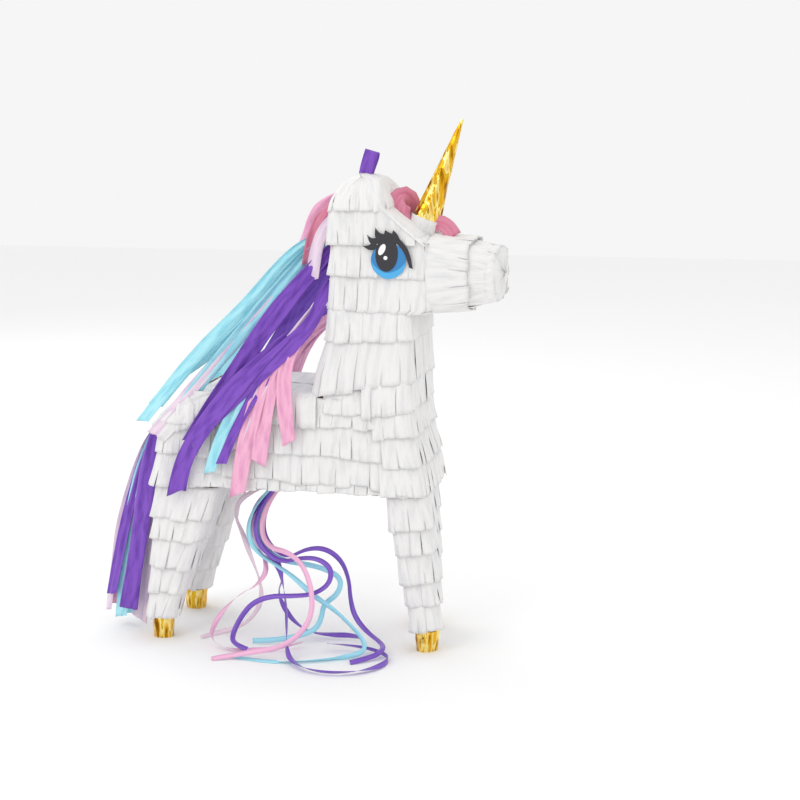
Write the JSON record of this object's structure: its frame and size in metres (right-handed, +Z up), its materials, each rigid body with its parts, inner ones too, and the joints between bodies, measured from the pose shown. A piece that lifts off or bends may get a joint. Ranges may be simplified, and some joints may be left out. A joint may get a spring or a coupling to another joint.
{
  "type": "pinata",
  "caption": "Standing unicorn pinata: fringed card body on four legs, hanging loop, hinged fill door and a belly flap with pull ribbons",
  "frame": {"origin": "on the floor under the middle of the box round the animal, the loose pull ribbons left out", "axes": "+X is the way the animal faces, +Y its left side, +Z up from the floor to the tip of the horn"},
  "size_m": [0.3921, 0.1953, 0.4903],
  "materials": {
    "white_crepe": "white crepe paper, cut into fringe and glued in rows",
    "gold_foil": "crumpled gold foil",
    "stick_wood": "plain round stick",
    "purple_crepe": "purple crepe paper",
    "blue_crepe": "light blue crepe paper",
    "pink_crepe": "pink crepe paper",
    "eye_print": "printed paper sticker",
    "paper_tape": "paper tape",
    "kraft_card": "brown corrugated card"
  },
  "bodies": {
    "body": {"side_panel_right": "kraft_card", "side_panel_left": "kraft_card", "nape_strip": "kraft_card", "back_strip": "kraft_card", "rump_strip": "kraft_card", "belly_strip": "kraft_card", "chest_strip": "kraft_card", "face_strip": "kraft_card", "forehead_strip": "kraft_card", "crown_cap": "kraft_card", "hanging_stick": "stick_wood", "hanging_loop": "purple_crepe", "muzzle_tube": "kraft_card", "muzzle_lid": "kraft_card", "fringe_muzzle": "white_crepe", "front_leg_right": "kraft_card", "front_hoof_right": "gold_foil", "fringe_front_leg_right": "white_crepe", "front_leg_left": "kraft_card", "front_hoof_left": "gold_foil", "fringe_front_leg_left": "white_crepe", "hind_leg_right": "kraft_card", "hind_hoof_right": "gold_foil", "fringe_hind_leg_right": "white_crepe", "hind_leg_left": "kraft_card", "hind_hoof_left": "gold_foil", "fringe_hind_leg_left": "white_crepe", "horn_foil": "gold_foil", "horn_cone": "kraft_card", "horn_collar": "white_crepe", "forelock_ribbon": "pink_crepe", "eye_right": "eye_print", "eye_left": "eye_print", "flap_hinge_tape": "paper_tape", "door_hinge_tape": "paper_tape", "fringe_torso": "white_crepe", "fringe_neck": "white_crepe", "fringe_head": "white_crepe", "mane_blue": "blue_crepe", "mane_purple": "purple_crepe", "mane_pink": "pink_crepe", "mane_left": "purple_crepe", "mane_tuft": "pink_crepe", "tail_purple": "purple_crepe", "tail_blue": "blue_crepe", "tail_pink": "pink_crepe", "pull_ribbon_1": "blue_crepe", "pull_ribbon_2": "purple_crepe", "pull_ribbon_3": "pink_crepe", "pull_ribbon_4": "purple_crepe", "pull_ribbon_5": "blue_crepe", "pull_ribbon_6": "purple_crepe", "pull_ribbon_7": "pink_crepe", "pull_ribbon_8": "purple_crepe", "pull_ribbon_9": "pink_crepe"},
    "flap": {"release_flap": "kraft_card", "fringe_release_flap": "white_crepe", "ribbon_tab": "kraft_card"},
    "door": {"fill_door": "kraft_card", "fringe_fill_door": "white_crepe"}
  },
  "joints": [
    {"name": "release_flap_hinge", "type": "hinge", "parent": "body", "child": "flap", "pos_m": [0.0363, 0, 0.1508], "axis": [0, -1, 0], "range_deg": [0, 90], "deforming": ["pull_ribbon_1", "pull_ribbon_2", "pull_ribbon_3", "pull_ribbon_4", "pull_ribbon_5", "pull_ribbon_6", "pull_ribbon_7", "pull_ribbon_8", "pull_ribbon_9"]},
    {"name": "fill_door_hinge", "type": "hinge", "parent": "body", "child": "door", "pos_m": [0.069, 0.0613, 0.23], "axis": [1, 0, 0], "range_deg": [0, 110]}
  ]
}
